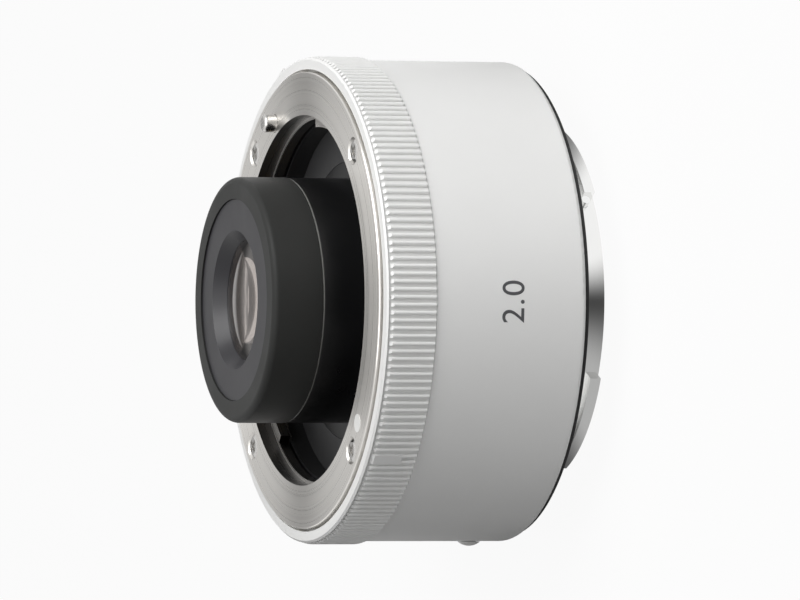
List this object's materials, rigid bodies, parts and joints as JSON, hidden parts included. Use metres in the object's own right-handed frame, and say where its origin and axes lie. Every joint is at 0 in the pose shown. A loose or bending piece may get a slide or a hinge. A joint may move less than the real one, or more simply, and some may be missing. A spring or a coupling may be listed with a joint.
{
  "type": "camera teleconverter",
  "caption": "Short white barrel with a lens mount and a protruding glass tube in front, a bayonet behind, a knurled ring and a sprung release lever with its lock pin.",
  "frame": {"origin": "on the optical axis, at the lowest plane of the camera-side end that the part rests on", "axes": "+Z along the optical axis towards the lens side; +X is the side that is up in the picture; -Y is the side that faces the viewer of the picture"},
  "size_m": [0.0626, 0.0624, 0.0427],
  "materials": {
    "white_paint": "white satin paint over aluminium",
    "white_mark": "gloss",
    "mount_steel": "turned and brushed",
    "mount_chrome": "polished",
    "steel": "bright",
    "black_alloy": "black anodised, satin",
    "grey_alloy": "dark grey anodised, matte",
    "black_plastic": "matte",
    "gold": "gold plated",
    "gasket_rubber": "matte",
    "coated_glass": "coated, polished",
    "board_green": "solder resist, satin",
    "ribbon_amber": "polyimide film"
  },
  "bodies": {
    "converter_body": {"main_barrel": "white_paint", "grip_ring": "white_paint", "lens_index_dot": "white_mark", "barrel_index_bead": "white_mark", "front_mount_plate": "mount_steel", "rear_bayonet": "mount_chrome", "bayonet_stop_pin": "mount_chrome", "front_mount_screws": "steel", "rear_mount_screws": "steel", "lock_pin_spring": "steel", "mount_leaf_springs": "steel", "mount_shim": "steel", "board_screws": "steel", "lens_unit_screws": "steel", "baffle_screws": "steel", "contact_springs": "steel", "chassis": "black_alloy", "front_lens_cell": "black_alloy", "rear_lens_cell": "black_alloy", "front_spacer": "black_alloy", "cell_retaining_ring": "black_alloy", "triplet_retaining_ring": "black_alloy", "rear_retaining_ring": "black_alloy", "front_trim_ring": "black_alloy", "tube_sleeve": "black_alloy", "throat_liner": "black_alloy", "front_hood": "grey_alloy", "throat_floor": "black_plastic", "front_contact_block": "black_plastic", "rear_contact_holder": "black_plastic", "rear_baffle": "black_plastic", "board_connectors": "black_plastic", "controller_chip": "black_plastic", "rear_contact_pads": "gold", "mount_gasket": "gasket_rubber", "glass_element_1": "coated_glass", "glass_element_2": "coated_glass", "glass_element_3": "coated_glass", "glass_element_4": "coated_glass", "glass_element_5": "coated_glass", "glass_element_6": "coated_glass", "glass_element_7": "coated_glass", "glass_element_8": "coated_glass", "circuit_board": "board_green", "front_ribbon": "ribbon_amber", "rear_ribbon": "ribbon_amber"},
    "release_lever": {"release_lever": "white_paint"},
    "lock_pin": {"lock_pin": "steel"},
    "contact_pin_01": {"contact_pin_01": "gold"},
    "contact_pin_02": {"contact_pin_02": "gold"},
    "contact_pin_03": {"contact_pin_03": "gold"},
    "contact_pin_04": {"contact_pin_04": "gold"},
    "contact_pin_05": {"contact_pin_05": "gold"},
    "contact_pin_06": {"contact_pin_06": "gold"},
    "contact_pin_07": {"contact_pin_07": "gold"},
    "contact_pin_08": {"contact_pin_08": "gold"},
    "contact_pin_09": {"contact_pin_09": "gold"},
    "contact_pin_10": {"contact_pin_10": "gold"}
  },
  "joints": [
    {"name": "release_slide", "type": "slide", "parent": "converter_body", "child": "release_lever", "axis": [0, 0, -1], "range_m": [0, 0.002], "stiffness_N_per_m": 600, "springref_m": -0.0025},
    {"name": "lock_pin_slide", "type": "slide", "parent": "converter_body", "child": "lock_pin", "axis": [0, 0, -1], "range_m": [0, 0.002], "deforming": ["lock_pin_spring"]},
    {"name": "contact_pin_01_slide", "type": "slide", "parent": "converter_body", "child": "contact_pin_01", "axis": [0, 0, -1], "range_m": [0, 0.0008], "stiffness_N_per_m": 300, "springref_m": -0.0008, "deforming": ["contact_springs"]},
    {"name": "contact_pin_02_slide", "type": "slide", "parent": "converter_body", "child": "contact_pin_02", "axis": [0, 0, -1], "range_m": [0, 0.0008], "stiffness_N_per_m": 300, "springref_m": -0.0008, "deforming": ["contact_springs"]},
    {"name": "contact_pin_03_slide", "type": "slide", "parent": "converter_body", "child": "contact_pin_03", "axis": [0, 0, -1], "range_m": [0, 0.0008], "stiffness_N_per_m": 300, "springref_m": -0.0008, "deforming": ["contact_springs"]},
    {"name": "contact_pin_04_slide", "type": "slide", "parent": "converter_body", "child": "contact_pin_04", "axis": [0, 0, -1], "range_m": [0, 0.0008], "stiffness_N_per_m": 300, "springref_m": -0.0008, "deforming": ["contact_springs"]},
    {"name": "contact_pin_05_slide", "type": "slide", "parent": "converter_body", "child": "contact_pin_05", "axis": [0, 0, -1], "range_m": [0, 0.0008], "stiffness_N_per_m": 300, "springref_m": -0.0008, "deforming": ["contact_springs"]},
    {"name": "contact_pin_06_slide", "type": "slide", "parent": "converter_body", "child": "contact_pin_06", "axis": [0, 0, -1], "range_m": [0, 0.0008], "stiffness_N_per_m": 300, "springref_m": -0.0008, "deforming": ["contact_springs"]},
    {"name": "contact_pin_07_slide", "type": "slide", "parent": "converter_body", "child": "contact_pin_07", "axis": [0, 0, -1], "range_m": [0, 0.0008], "stiffness_N_per_m": 300, "springref_m": -0.0008, "deforming": ["contact_springs"]},
    {"name": "contact_pin_08_slide", "type": "slide", "parent": "converter_body", "child": "contact_pin_08", "axis": [0, 0, -1], "range_m": [0, 0.0008], "stiffness_N_per_m": 300, "springref_m": -0.0008, "deforming": ["contact_springs"]},
    {"name": "contact_pin_09_slide", "type": "slide", "parent": "converter_body", "child": "contact_pin_09", "axis": [0, 0, -1], "range_m": [0, 0.0008], "stiffness_N_per_m": 300, "springref_m": -0.0008, "deforming": ["contact_springs"]},
    {"name": "contact_pin_10_slide", "type": "slide", "parent": "converter_body", "child": "contact_pin_10", "axis": [0, 0, -1], "range_m": [0, 0.0008], "stiffness_N_per_m": 300, "springref_m": -0.0008, "deforming": ["contact_springs"]}
  ],
  "couplings": [
    {"joint": "lock_pin_slide", "follows": "release_slide", "ratio": 1}
  ]
}
